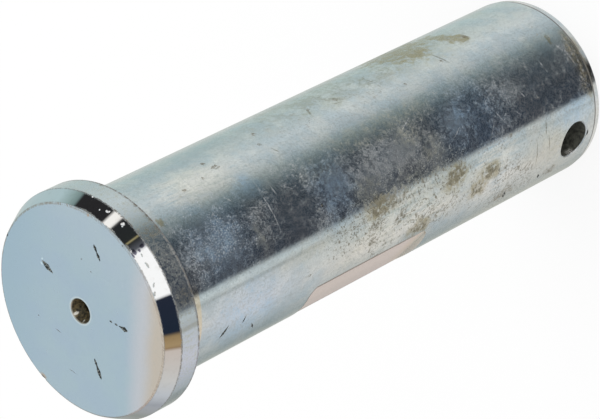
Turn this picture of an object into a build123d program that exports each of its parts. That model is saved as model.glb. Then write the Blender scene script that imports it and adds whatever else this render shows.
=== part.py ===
from build123d import *
from math import atan, degrees, radians, sqrt, tan
import os

# Pivot pin: one steel turning with a chamfered head, a long plain shank, a cross hole near the
# tail for a locking bolt, and a shallow milled flat along one side of the shank.
# Millimetres and degrees. The pin stands on its tail end: the tail's end face lies on z = 0, +Z
# runs along the axis towards the head, and +X runs along the cross hole. Angles go round +Z
# from +X.

# Shank
shank_d = 50.0
reach = 162.5  # tail end face to the head's bearing face
lead_in_h = 2.3  # slight taper at the tail that guides the pin into its bores
lead_in_w = 0.35

# Head
head_lip = 5.0  # how far the head stands out past the shank
head_t = 10.5
head_chamfer_h = 4.1  # steep chamfer round the front of the head
head_chamfer_w = 2.25
face_break = 0.25  # fine broken edge between the chamfer and the front face
rim_break = 0.4  # broken edge at the back of the rim
root_r = 1.0  # fillet between the shank and the head's bearing face

# Centre holes that the pin was turned between, form A 3.15, one in each end
centre_mouth_d = 6.7
centre_pilot_d = 3.15
centre_pilot_l = 3.9
centre_angle = 60.0
drill_point_angle = 118.0

# Cross hole for a locking bolt, through the axis
cross_d = 10.5
cross_z = 10.5  # the hole's axis above the tail's end face
cross_break = 0.3  # broken edge round both mouths

# Milled flat, its floor square to the radius at flat_angle
flat_angle = -28.2
flat_depth = 1.2
flat_low_z = 70.0
flat_len = 45.0
flat_corner_r = 3.5
flat_overrun = 0.5  # how far the cutter passes each side edge of the flat

# Bites that the lathe's face driver left in the front face. Each has the radius and angle of
# its middle, its turn away from that radius, and its length.
bites = [
    (19.5, 83.0, 48.0, 4.4),
    (14.1, 156.5, -12.0, 4.8),
    (14.9, 302.2, 2.0, 5.2),
    (13.1, 14.3, -9.0, 6.0),
]
bite_w = 1.0
bite_depth = 0.6
bite_floor_w = 0.2

shank_r = shank_d / 2
head_r = shank_r + head_lip
total_h = reach + head_t


def turned_blank():
    """The lathe-turned body, from the tail's lead-in to the front face."""
    face_r = head_r - head_chamfer_w
    break_w = face_break * head_chamfer_w / head_chamfer_h
    shank_side = Polyline(
        (0, 0),
        (shank_r - lead_in_w, 0),
        (shank_r, lead_in_h),
        (shank_r, reach - root_r),
    )
    root = RadiusArc((shank_r, reach - root_r), (shank_r + root_r, reach), -root_r)
    head_side = Polyline(
        (shank_r + root_r, reach),
        (head_r - rim_break, reach),
        (head_r, reach + rim_break),
        (head_r, total_h - head_chamfer_h),
        (face_r + break_w, total_h - face_break),
        (face_r - face_break, total_h),
        (0, total_h),
        (0, 0),
    )
    profile = make_face(shank_side + root + head_side)
    # the surfaces' seam goes to -Y, clear of the cross hole's mouths and the flat
    return Rot(0, 0, -90) * revolve(Plane.XZ * profile, Axis.Z)


def cross_drilled(blank):
    """The blank with its cross hole, both mouths broken."""
    drilled = blank - Pos(0, 0, cross_z) * Rot(0, 90, 0) * Cylinder(cross_d / 2, 2 * shank_d)
    mouths = drilled.edges().filter_by(GeomType.BSPLINE)
    return chamfer(mouths, cross_break)


def centre_hole():
    """Cutter for a centre hole, its mouth on z = 0 and its point up the +Z axis."""
    mouth_r = centre_mouth_d / 2
    pilot_r = centre_pilot_d / 2
    cone_h = (mouth_r - pilot_r) / tan(radians(centre_angle / 2))
    point_h = pilot_r / tan(radians(drill_point_angle / 2))
    outline = Polyline(
        (0, 0),
        (mouth_r, 0),
        (pilot_r, cone_h),
        (pilot_r, cone_h + centre_pilot_l),
        (0, cone_h + centre_pilot_l + point_h),
        (0, 0),
    )
    return revolve(Plane.XZ * make_face(outline), Axis.Z)


def flat_cutter():
    """Cutter for the flat: a plate with rounded corners, wide enough to leave no side walls."""
    floor_x = shank_r - flat_depth
    half_chord = sqrt(shank_r**2 - floor_x**2)
    plan = RectangleRounded(2 * (half_chord + flat_overrun), flat_len, flat_corner_r)
    plate = extrude(Plane.YZ * plan, amount=2 * flat_depth)
    return Rot(0, 0, flat_angle) * Pos(floor_x, 0, flat_low_z + flat_len / 2) * plate


def bite_cutter(radius, angle, turn, length):
    """Cutter for one bite: a V-shaped chisel mark with sloping ends, sunk into the front face."""
    side_slope = degrees(atan((bite_w - bite_floor_w) / 2 / bite_depth))
    mark = extrude(Rectangle(length, bite_w), amount=-bite_depth, taper=side_slope)
    return Rot(0, 0, angle) * Pos(radius, 0, total_h) * Rot(0, 0, turn) * mark


def pivot_pin():
    pin = cross_drilled(turned_blank())
    pin -= centre_hole()
    pin -= Pos(0, 0, total_h) * Rot(180, 0, 0) * centre_hole()
    pin -= flat_cutter()
    for bite in bites:
        pin -= bite_cutter(*bite)
    return pin


os.makedirs("parts", exist_ok=True)
export_step(pivot_pin(), "parts/pivot_pin.step")
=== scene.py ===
import math

import bmesh
import bpy
from mathutils import Matrix, Vector


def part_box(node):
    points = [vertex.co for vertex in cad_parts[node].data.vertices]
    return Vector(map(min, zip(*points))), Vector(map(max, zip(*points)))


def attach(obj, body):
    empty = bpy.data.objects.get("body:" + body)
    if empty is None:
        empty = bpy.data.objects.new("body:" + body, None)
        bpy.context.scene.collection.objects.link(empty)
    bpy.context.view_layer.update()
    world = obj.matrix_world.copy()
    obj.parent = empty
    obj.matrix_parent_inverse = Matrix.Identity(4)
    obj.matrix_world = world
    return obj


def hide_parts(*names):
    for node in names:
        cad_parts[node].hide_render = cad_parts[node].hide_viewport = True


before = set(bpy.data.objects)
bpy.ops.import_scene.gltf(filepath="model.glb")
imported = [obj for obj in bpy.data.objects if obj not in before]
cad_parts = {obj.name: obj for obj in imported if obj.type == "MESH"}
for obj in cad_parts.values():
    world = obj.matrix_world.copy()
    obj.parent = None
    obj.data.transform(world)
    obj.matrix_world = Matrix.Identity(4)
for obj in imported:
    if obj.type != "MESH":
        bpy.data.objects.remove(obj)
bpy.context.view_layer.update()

# Sizes are in millimetres and angles in degrees, as in the pin's own source. Places on the pin
# are given by their angle from SIDE, the row angle that faces the camera, and by their height
# above the tail's end face.
MM = 0.001
SIDE = 48.3

# ---------------------------------------------------------------- the pin's sizes
node_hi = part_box("pivot_pin")[1]
total_h = node_hi.z / MM
head_r = node_hi.x / MM
shank_r = 25.0
reach = 162.5
lead_in_h = 2.3
lead_in_w = 0.35
head_chamfer_h = 4.1
head_chamfer_w = 2.25
face_break = 0.25
rim_break = 0.4
root_r = 1.0
centre_mouth_r = 3.35
centre_pilot_r = 1.575
centre_pilot_l = 3.9
cross_r = 5.25
cross_z = 10.5
cross_break = 0.3
flat_angle = -28.2
flat_depth = 1.2
flat_low_z = 70.0
flat_len = 45.0
flat_corner_r = 3.5
flat_overrun = 0.5
flat_half_w = math.sqrt(shank_r**2 - (shank_r - flat_depth) ** 2)

# ---------------------------------------------------------------- geometry
TURNS = 288  # facets round the pin
HOLE_TURNS = 96  # facets round the cross hole
LONGEST_STEP = 4.0  # between rings along the outline
TINY = 1e-6
CONE_HALF = 30  # half angles of a centre hole's cone and of its point
POINT_HALF = 59
FLARE_REACH = 4.0  # the cross hole's flare goes this many breaks past its edge
LIFT = 0.15  # a gouge's cutter starts this far above the surface
FINISHES = ["shank", "rim", "chamfer", "face", "bore", "mouth", "flat", "gouge", "centre"]
FINISH = {name: i for i, name in enumerate(FINISHES)}


def polar(radius, angle, z):
    """Point at an angle from SIDE."""
    a = math.radians(angle + SIDE)
    return Vector((radius * math.cos(a), radius * math.sin(a), z))


def arc(centre, radius, start, end, steps):
    """Points of an arc in the (radius, z) half plane."""
    out = []
    for i in range(steps + 1):
        a = math.radians(start + (end - start) * i / steps)
        out.append((centre[0] + radius * math.cos(a), centre[1] + radius * math.sin(a)))
    return out


def centre_hole(mouth_z, inward):
    """Outline of a centre hole from its point to its mouth."""
    cone_h = (centre_mouth_r - centre_pilot_r) / math.tan(math.radians(CONE_HALF))
    point_h = centre_pilot_r / math.tan(math.radians(POINT_HALF))
    depths = [cone_h + centre_pilot_l + point_h, cone_h + centre_pilot_l, cone_h, 0]
    radii = [0, centre_pilot_r, centre_pilot_r, centre_mouth_r]
    return [(r, mouth_z + inward * d) for r, d in zip(radii, depths)]


def outline():
    """The turned outline from the tail's centre to the face's centre, as (points, finish)."""
    face_r = head_r - head_chamfer_w
    break_w = face_break * head_chamfer_w / head_chamfer_h
    root = arc((shank_r + root_r, reach - root_r), root_r, 180, 90, 6)
    low = centre_hole(0, 1)
    high = centre_hole(total_h, -1)[::-1]
    return [
        (low, "centre"),
        ([low[-1], (shank_r - lead_in_w, 0)], "shank"),
        ([(shank_r - lead_in_w, 0), (shank_r, lead_in_h)], "shank"),
        ([(shank_r, lead_in_h), root[0]], "shank"),
        (root, "shank"),
        ([root[-1], (head_r - rim_break, reach)], "rim"),
        ([(head_r - rim_break, reach), (head_r, reach + rim_break)], "rim"),
        ([(head_r, reach + rim_break), (head_r, total_h - head_chamfer_h)], "rim"),
        (
            [(head_r, total_h - head_chamfer_h), (face_r + break_w, total_h - face_break)],
            "chamfer",
        ),
        ([(face_r + break_w, total_h - face_break), (face_r - face_break, total_h)], "face"),
        ([(face_r - face_break, total_h), high[0]], "face"),
        (high, "centre"),
    ]


def rows(points):
    """The points with more between them, so that no step is longer than LONGEST_STEP."""
    out = [points[0]]
    for a, b in zip(points, points[1:]):
        n = max(1, math.ceil(math.dist(a, b) / LONGEST_STEP))
        out += [(a[0] + (b[0] - a[0]) * i / n, a[1] + (b[1] - a[1]) * i / n) for i in range(1, n + 1)]
    return out


def turned():
    """The turned pin, closed, its faces marked with their finish."""
    bm = bmesh.new()
    rings = []
    marks = []
    for points, finish in outline():
        fine = rows(points)
        if rings:
            fine = fine[1:]
        for r, z in fine:
            marks.append(FINISH[finish])
            if r < TINY:
                rings.append([bm.verts.new((0, 0, z))])
            else:
                rings.append([bm.verts.new(polar(r, 360 * i / TURNS, z)) for i in range(TURNS)])
    for low, high, mark in zip(rings, rings[1:], marks[1:]):
        for i in range(TURNS):
            j = (i + 1) % TURNS
            if len(low) == 1:
                corners = [low[0], high[j], high[i]]
            elif len(high) == 1:
                corners = [low[i], low[j], high[0]]
            else:
                corners = [low[i], low[j], high[j], high[i]]
            bm.faces.new(corners).material_index = mark
    return bm


def loft(bm, rings, finishes):
    """Closed skin over rings of points, its two ends closed by fans. Finishes go band by band."""
    made = [[bm.verts.new(p) for p in ring] for ring in rings]
    n = len(rings[0])
    for a, b, finish in zip(made, made[1:], finishes):
        for i in range(n):
            j = (i + 1) % n
            bm.faces.new((a[i], a[j], b[j], b[i])).material_index = FINISH[finish]
    for ring, finish, flip in ((made[0], finishes[0], True), (made[-1], finishes[-1], False)):
        middle = bm.verts.new(sum((v.co for v in ring), Vector()) / n)
        for i in range(n):
            pair = [ring[i], ring[(i + 1) % n]]
            corners = [middle, *(pair[::-1] if flip else pair)]
            bm.faces.new(corners).material_index = FINISH[finish]


def cross_hole(bm):
    """Cutter for the cross hole. Its flared ends follow the shank, so the mouths break evenly."""
    rings = []
    for side in (-1, 1):
        pair = []
        for extra in (0.0, FLARE_REACH):
            rho = cross_r + extra * cross_break
            ring = []
            for i in range(HOLE_TURNS):
                a = 2 * math.pi * i / HOLE_TURNS
                y, z = rho * math.cos(a), rho * math.sin(a)
                depth = cross_break * (extra - 1)
                ring.append(Vector((side * (math.sqrt(shank_r**2 - y**2) + depth), y, cross_z + z)))
            pair.append(ring)
        rings += pair[::-1] if side < 0 else pair
    loft(bm, rings, ["mouth", "bore", "mouth"])


def flat_plate(bm):
    """Cutter for the milled flat: a plate with rounded corners."""
    floor_x = shank_r - flat_depth
    turn = Matrix.Rotation(math.radians(flat_angle), 3, "Z")
    corner_y = flat_half_w + flat_overrun - flat_corner_r
    plan = []
    for cy, cz, start in (
        (corner_y, flat_low_z + flat_len - flat_corner_r, 0),
        (-corner_y, flat_low_z + flat_len - flat_corner_r, 90),
        (-corner_y, flat_low_z + flat_corner_r, 180),
        (corner_y, flat_low_z + flat_corner_r, 270),
    ):
        plan += arc((cy, cz), flat_corner_r, start, start + 90, 8)
    loft(bm, [[turn @ Vector((x, y, z)) for y, z in plan] for x in (floor_x, shank_r + 1)], ["flat"])


def gouge(bm, at, out, along, stations):
    """Cutter for a chisel mark at a point of the surface that faces out. Stations give the
    place along the mark, its half width and its depth there."""
    out = out.normalized()
    along = (along - along.dot(out) * out).normalized()
    side = out.cross(along)
    rings = []
    for s, half_w, depth in stations:
        base = at + along * s
        top = base + out * LIFT
        w = half_w * (depth + LIFT) / depth
        rings.append([top + side * w, top - side * w, base - out * depth])
    loft(bm, rings, ["gouge"] * (len(rings) - 1))


# The face driver's bites: radius and angle of the start and of the end, and the stations
BITES = [
    (
        (20.7, 37.9),
        (17.8, 28.6),
        [(0, 0.1, 0.1), (0.8, 0.5, 0.5), (2.0, 0.2, 0.2), (3.1, 0.5, 0.5), (4.3, 0.1, 0.1)],
    ),
    (
        (15.9, 106.8),
        (11.9, 105.1),
        [(0, 0.1, 0.1), (0.9, 0.45, 0.35), (2.2, 0.85, 0.6), (3.4, 0.4, 0.4), (4.4, 0.1, 0.1)],
    ),
    ((10.0, -31.5), (10.9, -32.3), [(0, 0.1, 0.08), (0.45, 0.32, 0.22), (0.9, 0.1, 0.08)]),
    ((11.7, -33.0), (12.6, -33.7), [(0, 0.1, 0.08), (0.5, 0.3, 0.22), (1.0, 0.1, 0.08)]),
    (
        (13.1, -34.0),
        (15.8, -35.7),
        [(0, 0.1, 0.1), (1.0, 0.35, 0.25), (1.9, 0.7, 0.55), (2.9, 0.2, 0.2)],
    ),
    (
        (12.3, -106.4),
        (17.4, -105.7),
        [
            (0, 0.15, 0.1),
            (1.1, 0.4, 0.35),
            (2.0, 0.25, 0.25),
            (3.4, 0.6, 0.6),
            (4.9, 0.35, 0.4),
            (5.4, 0.1, 0.1),
        ],
    ),
]


def face_gouges(bm):
    """The face driver's bites in the front face, and three nicks in its edge."""
    up = Vector((0, 0, 1))
    for start, end, stations in BITES:
        at = polar(*start, total_h)
        gouge(bm, at, up, polar(*end, total_h) - at, stations)
    for radius, angle, size in ((27.65, 116.6, 0.8), (27.45, -157.3, 1.0), (27.6, 157.0, 0.35)):
        at = polar(radius, angle, total_h)
        stations = [(-size, 0.1, 0.1), (0.2 * size, 0.7 * size, 0.4), (size, 0.1, 0.1)]
        gouge(bm, at, up + polar(1, angle, 0), polar(1, angle + 90, 0), stations)


def shank_gouges(bm):
    """Nicks in the shank: angle, height, half length, slant, half width and depth."""
    for angle, z, half, slant, wide, depth in (
        (-54, 148.0, 2.1, -40, 0.5, 0.3),
        (-52, 141.0, 1.3, -25, 0.25, 0.2),
        (-62, 136.7, 1.4, 30, 0.3, 0.22),
        (-66.5, 37.0, 1.9, 25, 0.6, 0.3),
        (-66, 22.5, 1.3, 30, 0.4, 0.2),
        (-47.5, 4.7, 1.0, 0, 0.4, 0.3),
        (-8, 110.0, 0.5, 0, 0.4, 0.2),
    ):
        at = polar(shank_r, angle, z)
        out = polar(1, angle, 0)
        round_way = polar(1, angle + 90, 0)
        tilt = math.radians(slant)
        along = Vector((0, 0, 1)) * math.sin(tilt) + round_way * math.cos(tilt)
        stations = [
            (-half, 0.06, 0.05),
            (-0.3 * half, wide, depth),
            (0.4 * half, 0.7 * wide, 0.8 * depth),
            (half, 0.06, 0.05),
        ]
        gouge(bm, at, out, along, stations)


def outline_normals():
    """Each straight step of the outline with its outward normal, and the root's arc."""
    steps = []
    for points, finish in outline():
        for a, b in zip(points, points[1:]):
            length = math.dist(a, b)
            steps.append((a, b, ((b[1] - a[1]) / length, -(b[0] - a[0]) / length), FINISH[finish]))
    return steps


def step_normal(steps, r, z, mark):
    """Outward normal, in the (radius, z) half plane, of the outline's step nearest to a point."""
    best = None
    for a, b, normal, finish in steps:
        if finish != mark:
            continue
        along = (b[0] - a[0], b[1] - a[1])
        t = ((r - a[0]) * along[0] + (z - a[1]) * along[1]) / (along[0] ** 2 + along[1] ** 2)
        t = min(1, max(0, t))
        gap = math.dist((r, z), (a[0] + along[0] * t, a[1] + along[1] * t))
        if best is None or gap < best[0]:
            best = (gap, normal)
    return best[1]


def exact_normals(mesh):
    """Gives every face corner the normal of the true surface, so that reflections are clean."""
    steps = outline_normals()
    root_centre = (shank_r + root_r, reach - root_r)
    bore, mouth, flat, cut = (FINISH[name] for name in ("bore", "mouth", "flat", "gouge"))
    flat_out = Matrix.Rotation(math.radians(flat_angle), 3, "Z") @ Vector((1, 0, 0))
    flat_floor = shank_r - flat_depth
    normals = [None] * len(mesh.loops)
    for poly in mesh.polygons:
        c = poly.center / MM
        mark = poly.material_index
        if mark not in (bore, mouth, flat, cut):
            r = math.hypot(c.x, c.y)
            in_root = shank_r + 0.001 < r < shank_r + root_r and reach - root_r < c.z < reach - 0.001
            if not in_root:
                nr, nz = step_normal(steps, r, c.z, mark)
        for k in poly.loop_indices:
            p = mesh.vertices[mesh.loops[k].vertex_index].co / MM
            inward = Vector((0, -p.y, cross_z - p.z)).normalized()
            if mark == bore:
                n = inward
            elif mark == mouth:
                n = inward + Vector((math.copysign(1, p.x), 0, 0))
            elif mark == flat and abs(c.dot(flat_out) - flat_floor) < 0.01:
                n = flat_out
            elif mark in (flat, cut) or math.hypot(p.x, p.y) < TINY:
                n = poly.normal
            else:
                out = Vector((p.x, p.y, 0)).normalized()
                if in_root:
                    away = Vector(root_centre) - Vector((math.hypot(p.x, p.y), p.z))
                    nr, nz = away.normalized()
                n = out * nr + Vector((0, 0, nz))
            normals[k] = n.normalized()
    mesh.normals_split_custom_set([tuple(n) for n in normals])


def placed(name, data):
    """A new object in the scene."""
    obj = bpy.data.objects.new(name, data)
    bpy.context.scene.collection.objects.link(obj)
    return obj


def as_object(name, bm):
    """An object in metres from a bmesh in millimetres, with one material slot per finish."""
    bmesh.ops.recalc_face_normals(bm, faces=bm.faces)
    mesh = bpy.data.meshes.new(name)
    bm.to_mesh(mesh)
    bm.free()
    mesh.transform(Matrix.Scale(MM, 4))
    for finish in FINISHES:
        mesh.materials.append(finish_material(finish))
    return placed(name, mesh)


def cut_from(target, cutters):
    """Cuts the cutters from target, one after the other, and keeps the result as its mesh."""
    for cutter in cutters:
        tool = as_object("cutter", cutter)
        step = target.modifiers.new("cut", "BOOLEAN")
        step.operation = "DIFFERENCE"
        step.solver = "EXACT"
        step.material_mode = "INDEX"
        step.object = tool
        bpy.context.view_layer.update()
        seen = target.evaluated_get(bpy.context.evaluated_depsgraph_get())
        mesh = bpy.data.meshes.new_from_object(seen)
        target.modifiers.clear()
        target.data = mesh
        bpy.data.objects.remove(tool)


# ---------------------------------------------------------------- materials
def linear(r, g, b):
    """A colour given as 0 to 255 sRGB, as linear values."""
    out = []
    for c in (r, g, b):
        c /= 255
        out.append(c / 12.92 if c <= 0.04045 else ((c + 0.055) / 1.055) ** 2.4)
    return out


ZINC = (0.60, 0.65, 0.67)


class Nodes:
    """Short calls for building a node tree, which starts empty. Last is the last batch of spots."""

    def __init__(self, owner):
        owner.use_nodes = True
        self.tree = owner.node_tree
        self.tree.nodes.clear()
        self.last = None

    def add(self, kind, **settings):
        node = self.tree.nodes.new("ShaderNode" + kind)
        for key, value in settings.items():
            setattr(node, key, value)
        return node

    def put(self, socket, value):
        """Links another socket to this one, or sets its value."""
        if isinstance(value, bpy.types.NodeSocket):
            self.tree.links.new(value, socket)
        elif value is not None:
            socket.default_value = value

    def math(self, operation, a, b=None, c=None, clamp=False):
        node = self.add("Math", operation=operation, use_clamp=clamp)
        for socket, value in zip(node.inputs, (a, b, c)):
            self.put(socket, value)
        return node.outputs[0]

    def times(self, a, b):
        return self.math("MULTIPLY", a, b)

    def times_plus(self, a, b, c, clamp=False):
        """a times b, plus c."""
        return self.math("MULTIPLY_ADD", a, b, c, clamp)

    def most(self, *values):
        out = values[0]
        for v in values[1:]:
            out = self.math("MAXIMUM", out, v)
        return out

    def vector(self, operation, a, b=None):
        node = self.add("VectorMath", operation=operation)
        for socket, value in zip(node.inputs, (a, b)):
            self.put(socket, value)
        return node.outputs["Value" if operation in ("LENGTH", "DOT_PRODUCT") else "Vector"]

    def ease(self, value, low, high, out_low=0.0, out_high=1.0):
        """Smooth step from low to high."""
        sockets = {"Value": value, "From Min": low, "From Max": high}
        sockets |= {"To Min": out_low, "To Max": out_high}
        node = self.fed("MapRange", sockets, interpolation_type="SMOOTHSTEP")
        return node.outputs["Result"]

    def fed(self, kind, sockets, **settings):
        """A new node with its sockets linked or set."""
        node = self.add(kind, **settings)
        for name, value in sockets.items():
            self.put(node.inputs[name], value)
        return node

    def mapped(self, vector, location=(0, 0, 0), turn=0.0, scale=(1, 1, 1), kind="TEXTURE"):
        turns = (0, 0, math.radians(turn))
        sockets = {"Vector": vector, "Location": location, "Rotation": turns, "Scale": scale}
        return self.fed("Mapping", sockets, vector_type=kind).outputs[0]

    def noise(self, vector, scale, detail=3.0, rough=0.55, warp=0.0):
        sockets = {"Vector": vector, "Scale": scale, "Detail": detail}
        sockets |= {"Roughness": rough, "Distortion": warp}
        return self.fed("TexNoise", sockets).outputs["Fac"]

    def tint(self, vector, scale):
        """Three noises in one vector, each about 0."""
        node = self.fed("TexNoise", {"Vector": vector, "Scale": scale, "Detail": 4})
        return self.vector("SUBTRACT", node.outputs["Color"], (0.5, 0.5, 0.5))

    def parts(self, vector):
        """The three parts of a vector, as sockets."""
        return self.fed("SeparateXYZ", {0: vector}).outputs

    def spot(self, place, x, y, half_x, half_y, turn=0.0):
        """Soft spot, 1 in its middle and 0 at its edge."""
        node = self.add("TexGradient", gradient_type="SPHERICAL")
        self.put(node.inputs[0], self.mapped(place, (x, y, 0), turn, (half_x, half_y, 1000)))
        return node.outputs["Fac"]

    def blob(self, place, angle, z, half_round, half_long, turn=0.0):
        """Soft spot on the unrolled side."""
        return self.spot(place, shank_r * math.radians(angle), z, half_round, half_long, turn)

    def surface(self, shader, colour, metal, rough, height=None, depth=0.0):
        """Feeds the shader. The bump's height runs from 0 to 1, its depth is in millimetres."""
        for name, value in (("Base Color", colour), ("Metallic", metal), ("Roughness", rough)):
            self.put(shader.inputs[name], value)
        if height is not None:
            bump = self.fed("Bump", {"Strength": 1.0, "Distance": depth * MM, "Height": height})
            self.put(shader.inputs["Normal"], bump.outputs[0])

    def mix(self, share, a, b):
        """Colour mix."""
        node = self.add("Mix", data_type="RGBA")
        self.put(node.inputs[0], share)
        for socket, value in ((node.inputs[6], a), (node.inputs[7], b)):
            self.put(socket, value if isinstance(value, bpy.types.NodeSocket) else (*value, 1))
        return node.outputs[2]

    def layers(self, colour, *marks):
        """The colour under layers of paint, each given as its mark, its share and its tint."""
        for mark, share, tint in marks:
            colour = self.mix(mark if share == 1 else self.times(mark, share), colour, tint)
        return colour

    def ramp(self, value, stops):
        """Colours at places from 0 to 1."""
        node = self.fed("ValToRGB", {0: value})
        points = node.color_ramp.elements
        while len(points) > 1:
            points.remove(points[-1])
        for i, (at, colour) in enumerate(stops):
            point = points[0] if i == 0 else points.new(at)
            point.position = at
            point.color = (*colour, 1)
        return node.outputs[0]


made_materials = {}


def finish_material(finish):
    """The material of a finish, made once. Its texture place is in millimetres, x to the camera."""
    if finish in made_materials:
        return made_materials[finish]
    material = bpy.data.materials.new("zinc_" + finish)
    made_materials[finish] = material
    n = Nodes(material)
    shader = n.add("BsdfPrincipled")
    n.fed("OutputMaterial", {0: shader.outputs[0]})
    where = n.add("TexCoord").outputs["Object"]
    where = n.mapped(where, turn=SIDE, scale=(MM, MM, MM))
    PAINT[finish](n, shader, where)
    return material


def unrolled(n, where):
    """The side of the pin laid flat, as arc length from SIDE at the shank's radius and height, and
    the height by itself."""
    x, y, height = n.parts(where)
    angle = n.math("ARCTAN2", y, x)
    flat = n.fed("CombineXYZ", {0: n.times(angle, shank_r), 1: height})
    return flat.outputs[0], height


def warped(n, place, where, scale, most):
    """The unrolled place, pushed about by up to most, so that spots get ragged edges."""
    push = n.vector("MULTIPLY", n.tint(where, scale), (2 * most, 2 * most, 0))
    return n.vector("ADD", place, push)


BATCH = 12  # spots that are held at once

# Spots on the side: angle, height, half size round and along, and the turn where there is one
HAZE = [
    (-4, 86, 13, 36),
    (-10, 67, 7, 8),
    (-15, 87, 7, 22),
    (-12, 109.5, 7, 7),
    (8, 110, 6, 6),
    (7, 73, 7, 9),
    (3, 82, 9, 26),
    (0, 155, 10, 6),
    (14, 4, 6, 4),
    (-10, 4, 6, 3),
    (-4, 146, 10, 14),
]
THIN_HAZE = [
    (0, 143, 12, 14),
    (-4, 131, 9, 6),
    (4, 38, 9, 9),
    (-6, 41, 9, 7),
    (-3, 52, 12, 14),
]
CLEAR = [
    (8, 16, 14, 14),
    (-12, 30, 6, 9),
    (-6, 118, 10, 5),
    (-15, 143, 5, 10),
    (-10, 47, 8, 4),
]
CLOUD = [
    (-10, 66.5, 5, 6),
    (1, 32.5, 5, 5),
    (-2, 145, 11, 11),
    (1, 56, 6, 6),
    (-11, 91, 6, 8),
    (0, 78, 6, 9),
    (-6, 132.5, 9, 1.6),
    (2, 103, 6, 6),
]
FILM = [
    (-10, 67, 7, 7),
    (7, 73, 6, 8),
    (13, 105, 6, 11),
    (-14, 94, 6, 10),
    (-8, 132.5, 5, 2),
    (18, 80, 5, 36),
    (62, 69, 5, 4, 20),
    (74, 14, 5, 5),
    (-51, 16, 9, 14),
    (49, 83, 5, 6, 30),
    (49, 92, 4, 3),
    (66, 48, 18, 26),
    (70, 84, 9, 26),
    (-34, 76, 14, 40),
]
# Patches of painted reflection tint on the side: blue where the dark studio is mirrored.
BLUE_REFLECTION = [
    (0, 145, 15, 16),
    (0, 104, 15, 10),
    (-4, 50, 16, 18),
    (-28, 10, 6, 12),
    (-46, 140, 12, 20),
    (21, 128, 5, 7),
]
WARM = [
    (-44, 24, 9, 17),
    (-50, 96, 9, 22),
    (-86, 40, 10, 18),
    (-30, 120, 3, 18),
    (36, 138, 9, 14),
]
# Patches of painted sheen: lighter, less metallic zinc that lifts the mirrored tone.
PALE_SHEEN = [
    (-33, 45, 9, 16),
    (-27, 84, 4, 26),
    (-78, 14, 10, 18),
    (-72, 24, 12, 44),
    (-44, 84, 10, 36),
    (-52, 46, 7, 16),
    (38, 140, 8, 22),
]
SHADE = [
    (8, 14, 8, 14),
    (-72, 134, 8, 24),
    (66, 128, 8, 30),
]
OLIVE = [
    (74, 50, 9, 13),
    (68, 50, 10, 11),
    (58, 47, 6, 7),
    (76, 48, 6, 16),
    (72, 44, 8, 10),
    (62, 34, 10, 4, 20),
    (52, 31, 4, 3.4, 20),
]
WASH = [
    (-25.5, 91, 4, 8),
    (-30, 61, 4, 7, 12),
    (-38.5, 47.5, 4, 7),
    (-46, 52, 4, 5.5),
    (-53, 75, 4, 7),
    (21, 8.6, 1.8, 1.2),
    (24, 156.8, 2.4, 1.2),
    (-2, 3.5, 14, 3.5),
]
BROWN = [
    (-27, 90, 4, 7),
    (-25.5, 91, 4.2, 8),
    (-24, 88, 5, 15),
    (-30, 61, 4.4, 9, 12),
    (-38.5, 47.5, 3.6, 6.5),
    (-46, 52, 3.4, 5),
    (-53, 75, 3.4, 6.5),
    (-35, 93.5, 3, 4),
    (-37, 83, 3, 5, 30),
    (-44, 94, 2.4, 3),
    (-22.5, 38, 1.1, 1.7),
    (-41, 41, 1.3, 1.7),
    (-48, 59, 1.1, 1.2),
    (-45, 118, 1.0, 1.2),
    (-31, 145, 1.1, 0.7),
    (-64, 38, 5, 9),
    (-66, 18, 4, 6),
    (43, 113.6, 1.2, 1.2),
    (42, 130, 1.7, 2.4),
    (48, 131.5, 1.7, 1.1),
    (38, 136, 1.2, 1.5),
    (36.5, 143.5, 1.2, 1.3),
    (51, 29.5, 2.6, 2.0),
    (21, 8.5, 1.2, 1.0),
    (53, 111, 2, 1.6),
    (36, 61, 1.0, 0.9),
    (39, 70, 0.9, 1.3),
    (50, 82.5, 2.0, 1.2, 38),
    (52, 91, 1.6, 1.0, -26),
    (40, 44.5, 1.2, 1.0),
    (33, 123, 1.0, 0.8),
]
SPECKS = [
    (-36, 74, 14, 46),
    (-45, 46, 14, 20),
    (-62, 40, 9, 32),
    (-32, 103, 9, 14),
]
THIN_SPECKS = [
    (66, 50, 12, 12),
    (58, 33, 10, 5),
    (46, 84, 12, 40),
    (60, 70, 12, 44),
    (72, 100, 9, 34),
    (-40, 24, 14, 20),
]
VEINS = [
    (-60, 36, 12, 12),
    (-30, 98, 8, 14),
    (-46, 70, 8, 13),
    (-34, 76, 8, 10),
    (-54, 92, 5, 5),
    (52, 67, 4, 4),
]
CUTS = [
    (2, 125.8, 9, 0.3, 1),
    (17, 125.4, 3, 0.2, -1),
    (12, 121.8, 2.2, 0.3),
    (-3, 29, 1.6, 0.3, 25),
    (-9, 40, 3.2, 0.2, 30),
    (-2, 36, 2.4, 0.18, 40),
    (-14, 44, 4, 0.2, -40),
    (-12, 33, 2.5, 0.2, 50),
    (8, 130, 4, 0.2, 70),
    (-6, 57, 3, 0.2, -60),
    (13, 71, 4, 0.2, -65),
    (6, 17, 3.4, 0.22, 8),
    (10, 4.4, 6, 0.6, -6),
    (-2, 3.9, 6, 0.6, 4),
    (4, 6.0, 4, 0.5, 12),
    (-12, 5.0, 4, 0.6, 14),
    (12, 7.5, 3, 0.6, 30),
    (2, 130.5, 0.5, 0.5),
    (19, 135.5, 1.6, 0.3, 30),
]
SPARKLE = [
    (3, 143, 14, 16),
    (-4, 153.5, 7, 4.5),
    (16, 118, 6, 14, 25),
    (-4, 5, 12, 3.5),
    (-8, 120, 10, 6),
]
SCRATCHED = [
    (-4, 42, 12, 26),
    (4, 128, 9, 10),
]
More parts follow.
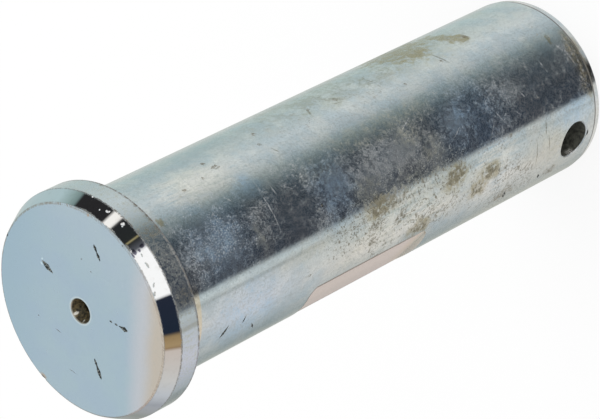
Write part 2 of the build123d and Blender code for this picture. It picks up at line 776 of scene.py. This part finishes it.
DARK_CUTS = [
    (43, 43.8, 4.0, 0.45, 10),
    (50, 81.5, 2.6, 0.45, 38),
    (50, 92, 2.4, 0.45, -26),
    (46, 83, 1.6, 0.3, 70),
    (34, 112, 1.6, 0.3, 20),
    (-44, 27, 5, 0.3, 4),
    (-29, 23.3, 2.6, 0.35, -4),
    (-40, 22, 3, 0.3, 10),
    (-50, 30, 2.4, 0.3, -30),
]


def spots(n, place, table):
    """The spots of a table. The renderer holds few values at once, so each batch of spots is made
    to wait for the one before it by a shift of a millionth of a millimetre."""
    out = None
    for i in range(0, len(table), BATCH):
        if n.last is not None:
            place = n.vector("ADD", place, n.times(n.last, 1e-6))
        batch = [n.blob(place, *row) for row in table[i : i + BATCH]]
        out = n.most(*batch if out is None else (out, *batch))
        n.last = out
    return out


def area(n, place, table, full):
    """Where the spots of a table lie, 1 from full inwards."""
    return n.ease(spots(n, place, table), 0.0, full)


def flat_edge(n, where):
    """The place's parts, turned so that x faces the flat, and the distance outside its outline."""
    parts = n.parts(n.mapped(where, turn=flat_angle - SIDE))
    across = n.math("ABSOLUTE", parts[1])
    up = n.math("ABSOLUTE", n.math("SUBTRACT", parts[2], flat_low_z + flat_len / 2))
    past = [
        n.most(n.math("SUBTRACT", value, half - flat_corner_r), 0.0)
        for value, half in ((across, flat_half_w + flat_overrun), (up, flat_len / 2))
    ]
    squares = n.times_plus(past[0], past[0], n.times(past[1], past[1]))
    beyond = n.math("SUBTRACT", n.math("SQRT", squares), flat_corner_r)
    beyond = n.most(beyond, n.math("SUBTRACT", across, flat_half_w))
    return parts, beyond


def pepper(n, where, scale, size):
    """Small dots of many sizes. Scale is cells a millimetre and size is the largest dot's share
    of a cell."""
    node = n.fed("TexVoronoi", {"Vector": where, "Scale": scale})
    cell = n.vector("DOT_PRODUCT", node.outputs["Color"], (1.0, 0.0, 0.0))
    radius = n.times(n.times(cell, cell), size)
    return n.ease(node.outputs["Distance"], radius, n.math("SUBTRACT", radius, 0.12))


def scratches(n, place):
    """Thin slanted scratches, mostly in two directions."""
    lines = []
    for turn, long, high in ((28, 9.0, 0.67), (-38, 6.0, 0.69), (62, 7.0, 0.68)):
        grain = n.noise(n.mapped(place, turn=turn, scale=(long, 0.34, 1.0)), 1.0, 2, 0.5)
        lines.append(n.ease(grain, high, high + 0.05))
    return n.most(*lines)


def paint_shank(n, shader, where):
    """Zinc with haze, stains, specks, veins and scratches, and painted light: reflection tints, sheen
    and a glint.
    """
    place, height = unrolled(n, where)
    ragged = warped(n, place, where, 0.35, 2.6)
    frayed = warped(n, place, where, 0.9, 0.6)
    fine = n.noise(where, 1.5, 3, 0.75)
    grain = n.noise(where, 3.0, 2, 0.6)
    mottle = n.noise(where, 0.6, 5, 0.68)
    patch = n.noise(where, 0.2, 5, 0.62)
    speckle = n.math("ADD", fine, mottle)
    streaks = n.noise(n.vector("MULTIPLY", place, (0.9, 0.12, 1.0)), 1.0, 4, 0.6)

    dense = n.times(area(n, ragged, HAZE, 0.9), 0.66)
    dense = n.most(dense, n.times(area(n, ragged, THIN_HAZE, 0.9), 0.3))
    dense = n.times_plus(n.ease(patch, 0.40, 0.64), 0.46, dense)
    clear = area(n, ragged, CLEAR, 0.8)
    dense = n.times(dense, n.times_plus(clear, -0.65, 1.0))
    cloud = area(n, ragged, CLOUD, 0.8)
    flecks = n.ease(n.times_plus(speckle, 2.6, n.times(dense, 0.8)), 2.65, 3.8)
    flecks = n.times(flecks, n.times_plus(cloud, -0.55, 1.0))
    haze = n.times_plus(dense, 0.24, flecks)
    haze = n.times_plus(cloud, 0.42, haze)
    sparkle = n.times_plus(area(n, ragged, SPARKLE, 0.6), 0.1, grain)
    sparks = n.times(n.ease(sparkle, 0.62, 0.72), n.ease(dense, 0.1, 0.5))
    bent = warped(n, place, where, 0.9, 0.25)
    cuts = n.times(area(n, bent, CUTS, 0.7), n.ease(fine, 0.34, 0.54))
    thin = n.times(scratches(n, place), area(n, ragged, SCRATCHED, 0.5))
    lines = n.math("ABSOLUTE", n.math("SUBTRACT", n.noise(where, 0.3, 3, 0.6, 0.4), 0.5))
    branch = n.times(n.ease(n.blob(place, -3, 37, 10, 12), 0.0, 0.6), n.ease(lines, 0.03, 0.008))
    shares = [(cuts, 0.85), (sparks, 0.7), (thin, 0.4), (branch, 0.4)]
    bright = n.most(*(n.times(mark, share) for mark, share in shares))
    film = n.times(area(n, ragged, FILM, 0.7), n.ease(mottle, 0.3, 0.6))
    # Painted reflection tint: blue patches, which also tint the haze below.
    blue_reflection = n.times(area(n, ragged, BLUE_REFLECTION, 0.8), n.ease(patch, 0.40, 0.58, 0.7, 1.0))
    warm = area(n, ragged, WARM, 0.8)
    # Painted sheen: pale, less metallic streaks.
    pale_sheen = n.times(area(n, ragged, PALE_SHEEN, 0.8), n.ease(streaks, 0.36, 0.56))
    shade = area(n, ragged, SHADE, 0.8)

    stain = n.times_plus(mottle, 1.3, spots(n, ragged, OLIVE))
    stain = n.times(n.ease(stain, 0.74, 1.25), n.ease(mottle, 0.30, 0.56, 0.45, 1.0))
    stain = n.times(stain, n.ease(streaks, 0.32, 0.55, 0.6, 1.0))
    wash = n.times(area(n, ragged, WASH, 0.6), n.ease(mottle, 0.3, 0.55))
    thick = area(n, ragged, SPECKS, 0.6)
    sparse = n.times(area(n, ragged, THIN_SPECKS, 0.8), 0.4)
    dots = n.most(pepper(n, where, 0.95, 0.5), pepper(n, bent, 1.7, 0.64))
    dots = n.times(dots, n.most(thick, sparse))
    dots = n.times(dots, n.ease(patch, 0.40, 0.56, 0.15, 1.0))
    clumps = n.times(area(n, frayed, BROWN, 0.7), 0.25)
    clumps = n.most(clumps, n.times(thick, 0.08))
    brown = n.ease(n.times_plus(speckle, 0.5, clumps), 0.69, 0.8)
    veins = n.times(area(n, ragged, VEINS, 0.5), n.ease(lines, 0.024, 0.006))
    veins = n.times(veins, n.ease(fine, 0.32, 0.48))
    dark = n.times(area(n, bent, DARK_CUTS, 0.6), n.ease(fine, 0.35, 0.55))
    veins = n.most(veins, dark)

    seam = n.math("ABSOLUTE", n.math("SUBTRACT", height, lead_in_h - 0.25))
    seam = n.times(n.ease(seam, 0.4, 0.12), n.ease(mottle, 0.15, 0.45))
    root = n.times(n.ease(height, reach - 1.6, reach - 0.5), n.ease(mottle, 0.2, 0.55))
    edge = n.most(seam, root)
    strip = n.ease(n.blob(place, -24.5, 140, 1.9, 30), 0.0, 0.5)
    under = n.ease(n.blob(place, -28.3, 137, 0.8, 26), 0.0, 0.7)
    bloom = n.ease(n.blob(place, -38, 140, 9, 28), 0.0, 0.9)
    grit = n.ease(n.blob(place, 64, 72, 14, 66), 0.0, 0.8)
    grit = n.times(grit, n.ease(n.times_plus(mottle, 1.6, patch), 1.2, 1.5))
    # Painted sheen: a large patch of lighter, less metallic zinc low on one side.
    side = n.ease(n.blob(place, -76, 26, 15, 42), 0.0, 0.8)
    # Painted glint: a thin tan ring just below the head.
    collar_glint = n.ease(n.blob(place, -36, 160.0, 11, 9), 0.0, 0.5)
    collar_glint = n.times(collar_glint, n.ease(height, 156.6, 157.0))
    parts, beyond = flat_edge(n, where)
    brim = n.ease(parts[0], shank_r - flat_depth - 0.8, shank_r - flat_depth - 0.5)
    brim = n.times(brim, n.ease(beyond, 0.55, 0.2))
    brim = n.times(brim, n.ease(height, flat_low_z + 3.0, flat_low_z + 12.0))

    worn = n.ease(n.times_plus(fine, 1.3, n.times(mottle, 0.7)), 1.1, 0.8)
    hazed = n.mix(film, (0.50, 0.53, 0.54), (0.49, 0.50, 0.44))
    # Painted reflection tint: the haze turns blue where the blue patches lie.
    hazed = n.mix(n.times(blue_reflection, 0.9), hazed, (0.36, 0.55, 0.73))
    oily = n.mix(n.ease(mottle, 0.4, 0.6), (0.25, 0.21, 0.10), (0.33, 0.30, 0.17))
    tone = n.ease(n.noise(where, 0.13, 5, 0.6), 0.38, 0.62)
    colour = n.mix(tone, (0.55, 0.62, 0.65), (0.70, 0.72, 0.70))
    # Of these layers, blue is a painted reflection tint, pale and side are painted sheen, and collar
    # is a painted glint.
    colour = n.layers(
        colour,
        (shade, 0.35, (0.30, 0.40, 0.42)),
        (blue_reflection, 0.6, (0.49, 0.66, 0.84)),
        (film, 0.5, (0.54, 0.55, 0.46)),
        (warm, 0.5, (0.70, 0.65, 0.53)),
        (pale_sheen, 0.75, (0.91, 0.88, 0.81)),
        (side, 0.8, (0.84, 0.78, 0.68)),
        (bloom, 0.5, (0.74, 0.74, 0.79)),
        (strip, 0.55, (0.80, 0.86, 0.86)),
        (under, 0.35, (0.36, 0.40, 0.40)),
        (worn, 0.42, (0.36, 0.38, 0.37)),
        (n.ease(streaks, 0.5, 0.65), 0.2, (0.42, 0.43, 0.42)),
        (haze, 0.75, hazed),
        (bright, 0.8, (0.72, 0.74, 0.74)),
        (grit, 0.7, (0.38, 0.40, 0.35)),
        (stain, 0.9, oily),
        (wash, 0.68, (0.34, 0.28, 0.14)),
        (collar_glint, 0.6, (0.80, 0.64, 0.42)),
        (dots, 0.7, (0.17, 0.16, 0.12)),
        (brown, 0.75, (0.13, 0.12, 0.075)),
        (veins, 0.75, (0.18, 0.16, 0.11)),
        (brim, 0.75, (0.22, 0.13, 0.08)),
        (edge, 0.85, (0.10, 0.09, 0.08)),
    )
    dirt = n.most(n.times(stain, 0.35), n.times(dots, 0.6), brown, edge)
    metal = n.times_plus(haze, -0.23, 0.978)
    # Painted sheen: the pale and side patches are less metallic, so they take more of the even light.
    metal = n.times_plus(pale_sheen, -0.12, metal)
    metal = n.times_plus(side, -0.16, metal)
    metal = n.times_plus(bright, -0.3, metal)
    metal = n.times_plus(dirt, -0.7, metal, clamp=True)
    rough = n.times_plus(haze, 0.12, 0.09)
    rough = n.times_plus(film, 0.04, rough)
    rough = n.times_plus(dirt, 0.4, rough)
    n.surface(shader, colour, metal, rough, n.times_plus(fine, 0.4, mottle), 0.004)


RIM_HAZE = [
    (5, 165.5, 4.0, 6),
    (-3, 164.5, 1.8, 4),
    (9, 166.5, 0.5, 6),
]
RIM_BROWN = [
    (18, 166.0, 3.0, 6),
    (33, 163.2, 0.9, 0.9),
    (55, 163.2, 1.1, 0.7),
    (25, 163.4, 1.6, 1.2),
    (-15, 165.0, 3.0, 5.0),
]
RIM_DULL = [
    (-74, 165.5, 4.5, 12),
]
RIM_LILAC = [
    (-48, 166, 12, 10),
]
RIM_GREY = [
    (-30, 165.5, 0.9, 12),
]


def paint_rim(n, shader, where):
    place, height = unrolled(n, where)
    ragged = warped(n, place, where, 0.5, 1.2)
    mottle = n.noise(where, 0.9, 5, 0.7)
    fine = n.noise(where, 2.2, 3, 0.7)
    streaks = n.noise(n.vector("MULTIPLY", place, (1.6, 0.3, 1.0)), 1.0, 4, 0.65)
    speckle = n.math("ADD", fine, mottle)
    dense = n.times_plus(spots(n, ragged, RIM_HAZE), 0.3, n.times(streaks, 1.2))
    haze = n.ease(n.times_plus(speckle, 2.6, dense), 2.85, 4.0)
    brown = n.times(area(n, ragged, RIM_BROWN, 0.8), n.ease(speckle, 0.8, 1.15))
    grey = area(n, place, RIM_GREY, 0.8)
    dull = area(n, ragged, RIM_DULL, 0.8)
    back = n.ease(height, reach + 1.2, reach + 0.5)
    front_z = total_h - head_chamfer_h
    front = n.times(n.ease(height, front_z - 0.35, front_z - 0.05), n.ease(mottle, 0.42, 0.56))
    edge = n.most(n.times(back, n.ease(speckle, 0.75, 1.1)), front)
    lilac = area(n, ragged, RIM_LILAC, 0.8)
    colour = n.layers(
        ZINC,
        (lilac, 0.65, (0.63, 0.65, 0.80)),
        (dull, 0.9, (0.36, 0.38, 0.38)),
        (n.ease(speckle, 1.1, 0.85), 0.2, (0.44, 0.47, 0.48)),
        (haze, 1, (0.52, 0.54, 0.50)),
        (grey, 0.7, (0.40, 0.40, 0.36)),
        (brown, 0.6, (0.16, 0.13, 0.075)),
        (edge, 0.85, (0.08, 0.055, 0.035)),
    )
    dirt = n.most(edge, n.times(brown, 0.2))
    metal = n.times_plus(haze, -0.2, 0.97)
    metal = n.times_plus(dirt, -0.75, metal)
    rough = n.times_plus(haze, 0.15, 0.1)
    rough = n.times_plus(dirt, 0.3, rough)
    n.surface(shader, colour, metal, rough, mottle, 0.003)


CHAMFER_GREY = [
    (5.0, 171.1, 0.95, 0.3),
    (10.5, 171.0, 0.4, 0.2),
    (-8.5, 172.3, 0.5, 0.25, -20),
    (-4.5, 171.75, 0.7, 0.2, -20),
    (17, 172.6, 1.4, 0.4),
    (29, 172.7, 1.6, 0.35),
    (46, 172.6, 3.0, 0.3),
    (4, 172.7, 0.5, 0.25),
]
CHAMFER_DARK = [
    (13.6, 171.9, 0.9, 0.45),
    (13.0, 170.9, 0.5, 0.35),
    (14.2, 169.9, 0.6, 0.6),
    (12.4, 172.6, 0.7, 0.3),
]
CHAMFER_WHITE = [
    (27.8, 169.95, 0.45, 0.45),
    (27.2, 170.45, 0.2, 0.2),
    (38.6, 170.15, 0.5, 0.3),
    (37.6, 169.9, 0.3, 0.22),
    (42.0, 170.8, 0.22, 0.2),
    (50.0, 169.05, 0.3, 0.25),
]


def paint_chamfer(n, shader, where):
    """Polished zinc with spots and worn edges."""
    place, height = unrolled(n, where)
    frayed = warped(n, place, where, 1.2, 0.35)
    fine = n.noise(where, 2.2, 4, 0.7)
    mottle = n.noise(where, 0.5, 5, 0.65)
    low_z = total_h - head_chamfer_h
    low = n.ease(height, low_z + 0.35, low_z + 0.05)
    high = n.ease(height, total_h - face_break - 0.25, total_h - face_break)
    edge = n.most(low, n.times(high, 0.7))
    edge = n.times(edge, n.ease(fine, 0.36, 0.56))
    ragged = area(n, frayed, CHAMFER_DARK, 0.4)
    grey = area(n, frayed, CHAMFER_GREY, 0.5)
    white = area(n, frayed, CHAMFER_WHITE, 0.5)
    colour = n.layers(
        ZINC,
        (n.ease(mottle, 0.5, 0.7), 0.25, (0.46, 0.48, 0.47)),
        (edge, 0.75, (0.12, 0.11, 0.09)),
        (grey, 0.7, (0.30, 0.31, 0.28)),
        (ragged, 0.85, (0.06, 0.06, 0.11)),
        (white, 1, (0.85, 0.86, 0.86)),
    )
    metal = n.times_plus(n.most(edge, grey), -0.5, 1.0)
    metal = n.times_plus(white, -0.8, metal, clamp=True)
    rough = n.times_plus(fine, 0.05, 0.01)
    rough = n.times_plus(n.most(edge, white), 0.4, rough)
    n.surface(shader, colour, metal, rough, n.most(grey, white), 0.02)


# Marks on the face: x towards the camera and y across, half sizes, and the turn where there is one
FACE_DARK = [
    (25.9, 9.2, 0.35, 0.5),
    (-15.7, 3.7, 0.3, 0.25),
    (-11.4, -1.8, 0.2, 1.3, 35),
    (-13.6, -12.3, 0.15, 1.6, 40),
    (9.6, 11.0, 0.35, 0.35),
    (10.6, 7.2, 0.3, 0.35),
]
# Painted highlights: small glints beside a bite.
FACE_GLINTS = [
    (-5.2, 14.6, 0.4, 0.6),
    (-4.2, 15.5, 0.5, 0.3),
    (-3.6, 13.6, 0.25, 0.5),
]
FACE_WARM = [
    (19.4, 19.4, 0.6, 0.6),
    (-25.2, -10.2, 1.1, 1.6, 25),
]


def paint_face(n, shader, where):
    brushed = n.noise(n.vector("MULTIPLY", where, (2.6, 0.35, 1.0)), 1.0, 5, 0.65)
    mottle = n.noise(where, 0.7, 4, 0.6)
    cloud = n.noise(where, 0.12, 4, 0.55)
    frayed = n.vector("ADD", where, n.vector("MULTIPLY", n.tint(where, 1.5), (0.5, 0.5, 0)))
    # Painted reflection: the face is bluer along one edge, and pale, then warm, towards the other
    # edge, where a warm card is mirrored in it.
    across = n.vector("DOT_PRODUCT", where, (0.74, -0.67, 0.0))
    pale_sheen = n.ease(n.times_plus(cloud, 3.0, across), 16.0, 22.5)
    warm = n.ease(n.times_plus(cloud, 3.0, across), 21.5, 27.0)
    colour = n.mix(n.ease(cloud, 0.35, 0.65), (0.60, 0.655, 0.665), (0.585, 0.635, 0.675))
    # Painted sheen: the face lighter to one side.
    upper_sheen = n.ease(n.vector("DOT_PRODUCT", where, (0.95, 0.30, 0.0)), 6.0, 24.0, 0.0, 0.45)
    colour = n.layers(
        colour,
        (upper_sheen, 1, (0.70, 0.70, 0.69)),
        (n.ease(across, -8.0, -26.0, 0.0, 0.8), 1, (0.53, 0.61, 0.65)),
        (pale_sheen, 0.9, (0.82, 0.72, 0.69)),
        (warm, 1, (0.82, 0.63, 0.49)),
        (n.ease(mottle, 0.5, 0.7), 0.07, (0.45, 0.50, 0.52)),
    )
    radius = n.vector("LENGTH", n.vector("MULTIPLY", where, (1.0, 1.0, 0.0)))
    rim = n.ease(radius, head_r - head_chamfer_w - 0.55, head_r - head_chamfer_w - 0.2)
    rim = n.times(rim, n.ease(brushed, 0.4, 0.56))
    rim = n.times(rim, n.ease(across, 6.0, -8.0, 0.5, 1.0))
    ring = n.times(n.ease(radius, centre_mouth_r + 0.6, centre_mouth_r + 0.25), 0.8)
    dark = n.ease(n.most(*(n.spot(frayed, *row) for row in FACE_DARK)), 0.0, 0.6)
    brown = n.ease(n.most(*(n.spot(frayed, *row) for row in FACE_WARM)), 0.0, 0.7)
    # Painted highlights beside a bite, in near white.
    light = n.ease(n.most(*(n.spot(frayed, *row) for row in FACE_GLINTS)), 0.0, 0.6)
    colour = n.layers(
        colour,
        (ring, 1, (0.80, 0.80, 0.76)),
        (rim, 0.8, (0.20, 0.17, 0.13)),
        (brown, 0.7, (0.42, 0.27, 0.16)),
        (dark, 0.75, (0.10, 0.12, 0.12)),
        (light, 0.8, (0.90, 0.96, 0.93)),
    )
    marks = n.most(rim, dark, brown)
    metal = n.times_plus(marks, -0.6, 1.0)
    rough = n.times_plus(brushed, 0.08, 0.22)
    n.surface(shader, colour, metal, rough, brushed, 0.0005)


def paint_bore(n, shader, where):
    """Dark inside, with a painted highlight near the mouths on its lower wall."""
    x, y, z = n.parts(n.mapped(where, turn=-SIDE))
    mottle = n.noise(where, 1.1, 5, 0.65)
    near = n.ease(n.math("ABSOLUTE", x), shank_r - 2.9, shank_r - 1.5)
    low = n.ease(y, -3.0, -4.4)
    level = n.ease(n.math("ABSOLUTE", n.math("SUBTRACT", z, cross_z - 1.2)), 1.6, 0.5)
    flecks = n.ease(n.noise(where, 2.6, 3, 0.7), 0.42, 0.56)
    # Painted highlight: a near-white glint on the lower wall near the mouths.
    lit = n.times(n.times(near, low), n.times(level, flecks))
    colour = n.mix(n.ease(mottle, 0.35, 0.65), (0.055, 0.058, 0.05), (0.18, 0.18, 0.15))
    colour = n.mix(lit, colour, (0.92, 0.91, 0.85))
    rough = n.times_plus(mottle, 0.3, 0.3)
    n.surface(shader, colour, 0.25, rough, mottle, 0.02)


def paint_mouth(n, shader, where):
    mottle = n.noise(where, 1.1, 5, 0.65)
    colour = n.mix(n.ease(mottle, 0.45, 0.7), ZINC, (0.25, 0.24, 0.19))
    rough = n.times_plus(mottle, 0.3, 0.25)
    n.surface(shader, colour, 0.6, rough, mottle, 0.02)


def paint_centre(n, shader, where):
    """Brown inside, brighter at the mouth's edge, with two painted highlights on the wall away from
    the camera.
    """
    mottle = n.noise(where, 1.3, 5, 0.65)
    radius = n.vector("LENGTH", n.vector("MULTIPLY", where, (1.0, 1.0, 0.0)))
    height = n.parts(where)[2]
    # Painted highlights: two spots on the wall away from the camera.
    spot = n.most(n.spot(where, -2.9, 0.0, 0.5, 0.5), n.spot(where, -1.5, -2.5, 0.3, 0.3))
    lit = n.times(n.ease(spot, 0.0, 0.5), n.ease(mottle, 0.3, 0.5))
    lit = n.times(lit, n.ease(height, total_h - 1.9, total_h - 1.1))
    brim = n.ease(radius, centre_mouth_r - 0.25, centre_mouth_r)
    lit = n.most(lit, n.times(brim, 0.7))
    colour = n.mix(n.ease(mottle, 0.35, 0.65), (0.03, 0.028, 0.02), (0.21, 0.16, 0.08))
    colour = n.mix(lit, colour, (0.80, 0.77, 0.68))
    rough = n.times_plus(mottle, 0.3, 0.25)
    n.surface(shader, colour, 0.6, rough, mottle, 0.03)


def paint_flat(n, shader, where):
    """Pale floor of the flat, tan at its tail end, with a thin dark line along its edges."""
    (x, y, height), beyond = flat_edge(n, where)
    mottle = n.noise(where, 0.8, 5, 0.62)
    fine = n.noise(where, 2.4, 4, 0.65)
    floor_x = shank_r - flat_depth
    on_floor = n.ease(x, floor_x + 0.15, floor_x + 0.02)
    across = n.math("ABSOLUTE", y)
    ends = n.ease(beyond, -0.5, -0.15)
    line = n.most(ends, n.ease(across, flat_half_w - 0.8, flat_half_w - 0.3))
    line = n.times(n.times(line, on_floor), n.ease(mottle, 0.25, 0.5))
    low_end = n.ease(height, flat_low_z + 9.0, flat_low_z + 1.0)
    line = n.times(line, n.ease(low_end, 0.9, 0.4))
    dirt = n.times(n.ease(fine, 0.5, 0.66), 0.3)
    # The floor's pink is partly its own colour and partly a painted reflection tint.
    colour = n.mix(mottle, (0.86, 0.71, 0.65), (0.99, 0.84, 0.76))
    colour = n.layers(
        colour,
        (low_end, 0.5, (0.82, 0.66, 0.48)),
        (n.ease(height, flat_low_z + 3.2, flat_low_z + 0.8), 1, (0.74, 0.69, 0.61)),
        (dirt, 1, (0.62, 0.48, 0.40)),
        (n.ease(y, 3.0, -4.0, 0.0, 0.2), 1, (0.56, 0.48, 0.44)),
        (line, 0.75, (0.24, 0.16, 0.12)),
    )
    metal = n.times_plus(line, -0.3, 0.66)
    rough = n.times_plus(fine, 0.15, 0.28)
    n.surface(shader, colour, metal, rough, fine, 0.004)


def paint_gouge(n, shader, where):
    """Dark, with a few bright grains."""
    grain = n.noise(where, 2.2, 4, 0.65)
    colour = n.mix(n.ease(grain, 0.5, 0.62), (0.02, 0.025, 0.022), (0.35, 0.36, 0.33))
    n.surface(shader, colour, 0.2, 0.5)


PAINT = {
    "shank": paint_shank,
    "rim": paint_rim,
    "chamfer": paint_chamfer,
    "face": paint_face,
    "bore": paint_bore,
    "mouth": paint_mouth,
    "flat": paint_flat,
    "gouge": paint_gouge,
    "centre": paint_centre,
}

# ---------------------------------------------------------------- studio
# What the metal mirrors: tones by direction, where 0 faces the camera, as they look on bare zinc.
# UNDER holds for steep views down, LOW for shallower ones, MIDDLE about the level and HIGH above.
LOW = [
    (-180, (160, 168, 166)),
    (-160, (142, 151, 149)),
    (-142, (138, 150, 153)),
    (-120, (164, 174, 178)),
    (-95, (188, 194, 196)),
    (-70, (182, 191, 193)),
    (-61, (180, 190, 193)),
    (-59, (168, 177, 178)),
    (-54, (167, 176, 177)),
    (-52, (179, 190, 193)),
    (-46.5, (166, 177, 180)),
    (-41.5, (52, 58, 68)),
    (-10, (52, 59, 68)),
    (10, (54, 62, 71)),
    (22, (60, 70, 78)),
    (30, (80, 92, 98)),
    (40, (108, 122, 126)),
    (50, (140, 154, 157)),
    (60, (167, 179, 183)),
    (80, (188, 200, 204)),
    (100, (178, 192, 194)),
    (120, (168, 185, 188)),
    (140, (164, 183, 184)),
    (160, (168, 180, 180)),
    (180, (160, 168, 166)),
]
UNDER = [
    (-180, (190, 196, 196)),
    (-80, (196, 200, 200)),
    (-46, (200, 204, 204)),
    (-42, (36, 38, 42)),
    (-14, (40, 42, 46)),
    (0, (150, 156, 158)),
    (60, (190, 198, 200)),
    (180, (190, 196, 196)),
]
MIDDLE = [
    (-180, (150, 156, 154)),
    (-150, (134, 140, 137)),
    (-143, (146, 150, 152)),
    (-134, (153, 158, 163)),
    (-129, (150, 155, 162)),
    (-122, (170, 175, 181)),
    (-115, (182, 187, 193)),
    (-100, (194, 194, 192)),
    (-70, (192, 182, 174)),
    (-67.8, (140, 118, 90)),
    (-65.6, (160, 138, 103)),
    (-57, (144, 122, 88)),
    (-54, (30, 39, 53)),
    (-22.5, (34, 40, 54)),
    (-20.5, (246, 247, 247)),
    (23, (246, 247, 247)),
    (26, (84, 87, 94)),
    (33.5, (42, 44, 44)),
    (34.2, (42, 44, 44)),
    (34.8, (220, 205, 150)),
    (35.4, (38, 41, 41)),
    (54.7, (36, 38, 40)),
    (56.6, (241, 239, 235)),
    (63.8, (241, 239, 235)),
    (65.5, (38, 38, 40)),
    (95.8, (40, 40, 41)),
    (98.4, (112, 132, 131)),
    (104, (136, 158, 157)),
    (116, (166, 188, 192)),
    (150, (164, 184, 187)),
    (180, (160, 172, 172)),
]
HIGH = (166, 187, 199)
# Elevations between which one band gives way to the next
UNDER_TO_LOW = (-52, -46)
LOW_TO_MIDDLE = (-34, -26)
MIDDLE_TO_HIGH = (22, 30)
EVEN_LIGHT = 0.85  # the world's level as a light
WHITE = (1.0, 1.0, 1.0)
PAPER = (0.97, 0.97, 0.97, 1)
PAPER_GLOW = 0.85  # share of plain white that the camera sees in the floor
FLOOR_HALF = 3.0
LAMP_SIZE, LAMP_POWER = 1.2, 9.0
LAMP_AT, LAMP_AIM = Vector((-0.9, 0.5, 1.6)), Vector((0, 0, 0.08))
AZIMUTH, ELEVATION, ROLL = 48.485, 41.466, 116.83
DISTANCE = 0.8463
AIM = Vector((-0.00137, -0.00461, 0.09139))
SENSOR, LENS = 36.0, 196.5


def studio():
    """The world: white to the camera, an even light, and the studio's cards to glossy rays."""
    world = bpy.data.worlds.new("studio")
    bpy.context.scene.world = world
    n = Nodes(world)
    where = n.add("TexCoord").outputs["Generated"]
    x, y, z = n.parts(n.mapped(where, turn=-SIDE, kind="POINT"))
    angle = n.math("ARCTAN2", y, x)
    turn = n.times_plus(angle, 1 / (2 * math.pi), 0.5)
    height = n.times(n.math("ARCSINE", z), 180 / math.pi)

    def light(tone):
        """The light that bare zinc turns into a tone."""
        return [c / z for c, z in zip(linear(*tone), ZINC)]

    def band(tones):
        return n.ramp(turn, [((at + 180) / 360, light(tone)) for at, tone in tones])

    seen = n.mix(n.ease(height, *UNDER_TO_LOW), band(UNDER), band(LOW))
    seen = n.mix(n.ease(height, *LOW_TO_MIDDLE), seen, band(MIDDLE))
    seen = n.mix(n.ease(height, *MIDDLE_TO_HIGH), seen, light(HIGH))
    rays = n.add("LightPath")
    plain = n.mix(rays.outputs["Is Glossy Ray"], (EVEN_LIGHT,) * 3, seen)
    open_view = n.most(rays.outputs["Is Camera Ray"], rays.outputs["Is Transmission Ray"])
    colour = n.mix(open_view, plain, WHITE)
    back = n.fed("Background", {"Color": colour, "Strength": 1.0})
    n.fed("OutputWorld", {0: back.outputs[0]})


def floor():
    """Pale paper under the pin. It shows the shadow, and the metal doesn't mirror it."""
    mesh = bpy.data.meshes.new("floor")
    corners = [(FLOOR_HALF * x, FLOOR_HALF * y, 0) for x, y in ((-1, -1), (1, -1), (1, 1), (-1, 1))]
    mesh.from_pydata(corners, [], [(0, 1, 2, 3)])
    obj = placed("floor", mesh)
    material = bpy.data.materials.new("paper")
    n = Nodes(material)
    paper = n.fed("BsdfDiffuse", {"Color": PAPER})
    glow = n.add("Emission")
    rays = n.add("LightPath")
    share = n.times(rays.outputs["Is Camera Ray"], PAPER_GLOW)
    blend = n.fed("MixShader", {0: share, 1: paper.outputs[0], 2: glow.outputs[0]})
    n.fed("OutputMaterial", {0: blend.outputs[0]})
    mesh.materials.append(material)
    obj.visible_glossy = False


def lamp():
    """Large soft lamp that gives the pin its shadow. The metal doesn't mirror it."""
    light = bpy.data.lights.new("soft_lamp", "AREA")
    light.shape = "DISK"
    light.size = LAMP_SIZE
    light.energy = LAMP_POWER
    obj = placed("soft_lamp", light)
    obj.location = LAMP_AT
    obj.rotation_mode = "QUATERNION"
    obj.rotation_quaternion = (LAMP_AIM - LAMP_AT).to_track_quat("-Z", "Y")
    obj.visible_glossy = False
    obj.visible_camera = False


def camera():
    """The camera, from its aim, direction, distance and roll, solved from the photograph."""
    a, e = math.radians(AZIMUTH), math.radians(ELEVATION)
    back = Vector((math.cos(a) * math.cos(e), math.sin(a) * math.cos(e), math.sin(e)))
    data = bpy.data.cameras.new("camera")
    data.sensor_width = SENSOR
    data.lens = LENS
    obj = placed("camera", data)
    obj.location = AIM + back * DISTANCE
    obj.rotation_mode = "QUATERNION"
    level = (-back).to_track_quat("-Z", "Y")
    obj.rotation_quaternion = level @ Matrix.Rotation(math.radians(-ROLL), 3, "Z").to_quaternion()
    bpy.context.scene.camera = obj


# ---------------------------------------------------------------- the scene
bpy.context.scene.view_settings.view_transform = "Standard"
camera()
studio()
floor()
lamp()

pin = as_object("pin", turned())
marks = bmesh.new()
face_gouges(marks)
shank_gouges(marks)
hole = bmesh.new()
cross_hole(hole)
plate = bmesh.new()
flat_plate(plate)
cut_from(pin, [hole, plate, marks])
pin.data.shade_smooth()
exact_normals(pin.data)
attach(pin, "root")
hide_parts("pivot_pin")
